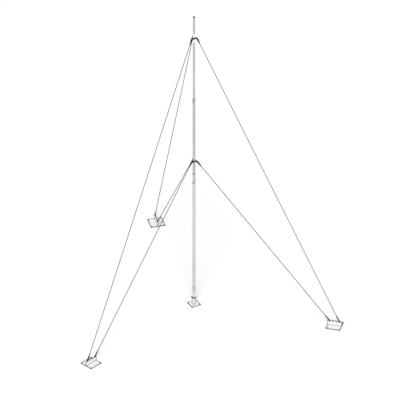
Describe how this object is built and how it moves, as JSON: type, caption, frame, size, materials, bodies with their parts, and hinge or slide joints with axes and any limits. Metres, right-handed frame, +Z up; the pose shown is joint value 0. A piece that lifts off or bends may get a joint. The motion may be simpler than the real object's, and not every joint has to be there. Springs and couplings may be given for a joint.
{
  "type": "guyed tubular radio mast",
  "caption": "Slender telescoped tube mast on a foot plate, held upright by two levels of wire guys that run to drilled anchor plates.",
  "frame": {"origin": "centre of the foot plate's underside, on the mast's axis, at ground level", "axes": "+Z up along the mast; +X towards the anchor named right; the anchors named rear and left follow at 120 and 240 degrees, counted from +X towards +Y"},
  "size_m": [6.724, 7.7624, 10],
  "materials": {
    "mast_aluminium": "satin",
    "galvanised_steel": "matte",
    "dark_steel": "satin",
    "wire_rope": "satin",
    "black_plastic": "matte"
  },
  "bodies": {
    "root": {"anchor_lug_left": "galvanised_steel", "anchor_lug_rear": "galvanised_steel", "anchor_lug_right": "galvanised_steel", "anchor_plate_left": "galvanised_steel", "anchor_plate_rear": "galvanised_steel", "anchor_plate_right": "galvanised_steel", "base_plate": "galvanised_steel", "collar_screws": "dark_steel", "earth_clamp": "dark_steel", "foot_bolts": "dark_steel", "foot_clamp": "dark_steel", "foot_sleeve": "galvanised_steel", "foot_stub": "galvanised_steel", "guy_rope_lower_left": "wire_rope", "guy_rope_lower_rear": "wire_rope", "guy_rope_lower_right": "wire_rope", "guy_rope_upper_left": "wire_rope", "guy_rope_upper_rear": "wire_rope", "guy_rope_upper_right": "wire_rope", "lower_ferrules": "dark_steel", "lower_guy_collar": "dark_steel", "lower_jaw_pins": "dark_steel", "lower_joint_bush": "black_plastic", "lower_joint_handle": "dark_steel", "lower_rope_terminals": "dark_steel", "lower_shackle_pins": "dark_steel", "lower_shackles": "dark_steel", "lower_thimbles": "dark_steel", "lower_tube": "mast_aluminium", "lower_turnbuckle_bodies": "dark_steel", "lower_turnbuckle_jaws": "dark_steel", "middle_tube": "mast_aluminium", "top_cap": "black_plastic", "upper_collar_sleeve": "galvanised_steel", "upper_ferrules": "dark_steel", "upper_guy_collar": "dark_steel", "upper_jaw_pins": "dark_steel", "upper_joint_bolt": "dark_steel", "upper_joint_bush": "black_plastic", "upper_joint_knob": "dark_steel", "upper_rope_terminals": "dark_steel", "upper_shackle_pins": "dark_steel", "upper_shackles": "dark_steel", "upper_thimbles": "dark_steel", "upper_tube": "mast_aluminium", "upper_turnbuckle_bodies": "dark_steel", "upper_turnbuckle_jaws": "dark_steel"}
  },
  "joints": []
}
